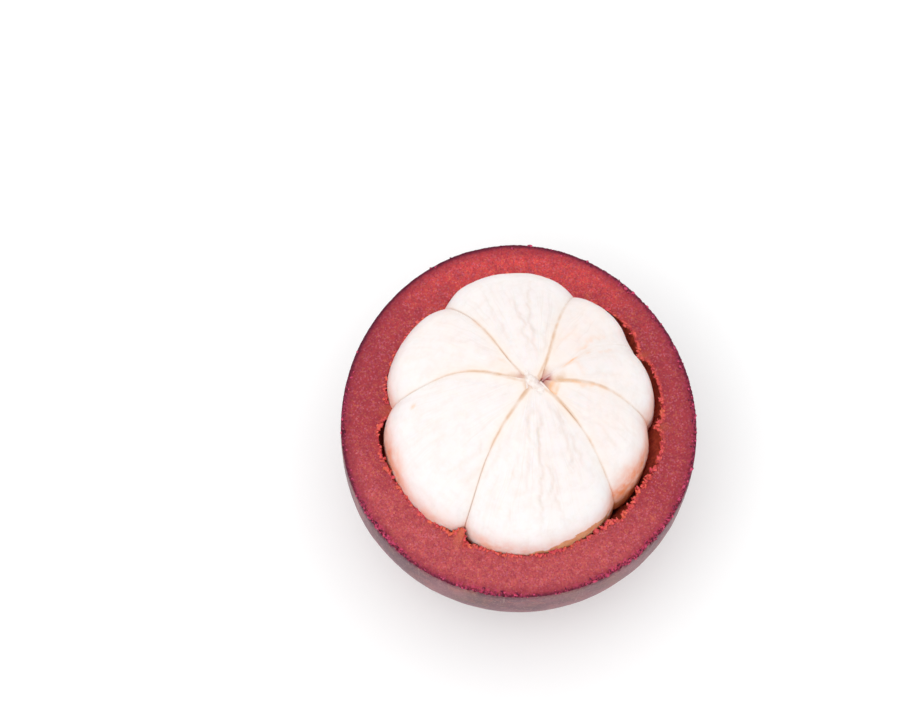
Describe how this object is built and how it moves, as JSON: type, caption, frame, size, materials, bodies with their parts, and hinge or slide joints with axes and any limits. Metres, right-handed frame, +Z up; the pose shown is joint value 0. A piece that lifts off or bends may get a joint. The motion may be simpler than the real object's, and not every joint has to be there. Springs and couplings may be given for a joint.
{
  "type": "cut mangosteen",
  "caption": "Lower half of a mangosteen: a thick cut rind cup with the whole ball of white flesh segments standing in it, on a small flat rosette.",
  "frame": {"origin": "middle of the flat rosette under the fruit, on the surface that it stands on", "axes": "+Z up out of the cut face, +Y towards the segment called aril_1"},
  "size_m": [0.0603, 0.0636, 0.0455],
  "materials": {
    "rind": "dusky purple skin, spongy red cut face",
    "flesh": "moist satin, slightly translucent",
    "core": "matt, fibrous"
  },
  "bodies": {
    "root": {"rind": "rind", "aril_1": "flesh", "aril_2": "flesh", "aril_3": "flesh", "aril_4": "flesh", "aril_5": "flesh", "aril_6": "flesh", "aril_7": "flesh", "core": "core"}
  },
  "joints": []
}
